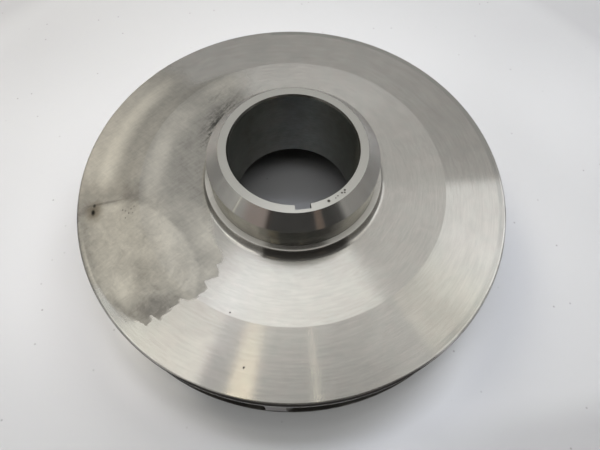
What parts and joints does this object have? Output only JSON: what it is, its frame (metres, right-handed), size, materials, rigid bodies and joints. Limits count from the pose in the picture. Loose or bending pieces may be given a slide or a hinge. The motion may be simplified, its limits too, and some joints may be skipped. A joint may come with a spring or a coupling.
{
  "type": "closed radial pump impeller",
  "caption": "Closed radial pump impeller with a keyed hub, a coned back shroud, curved vanes and a suction neck.",
  "frame": {"origin": "on the shaft axis, in the plane of the suction neck's end face that the impeller rests on", "axes": "+Z along the shaft axis towards the hub's end face, -Y through the middle of the keyway"},
  "size_m": [0.25, 0.25, 0.0887],
  "materials": {
    "turned_steel": "fine turned stainless steel",
    "faced_steel": "faced stainless steel with ring marks, hand ground on one side",
    "cast_steel": "blasted cast stainless steel in the passages"
  },
  "bodies": {
    "root": {"hub": "turned_steel", "back_shroud": "faced_steel", "front_shroud": "faced_steel", "suction_neck": "turned_steel", "wear_ring": "turned_steel", "vane_1": "cast_steel", "vane_2": "cast_steel", "vane_3": "cast_steel", "vane_4": "cast_steel", "vane_5": "cast_steel", "vane_6": "cast_steel", "vane_7": "cast_steel"}
  },
  "joints": []
}
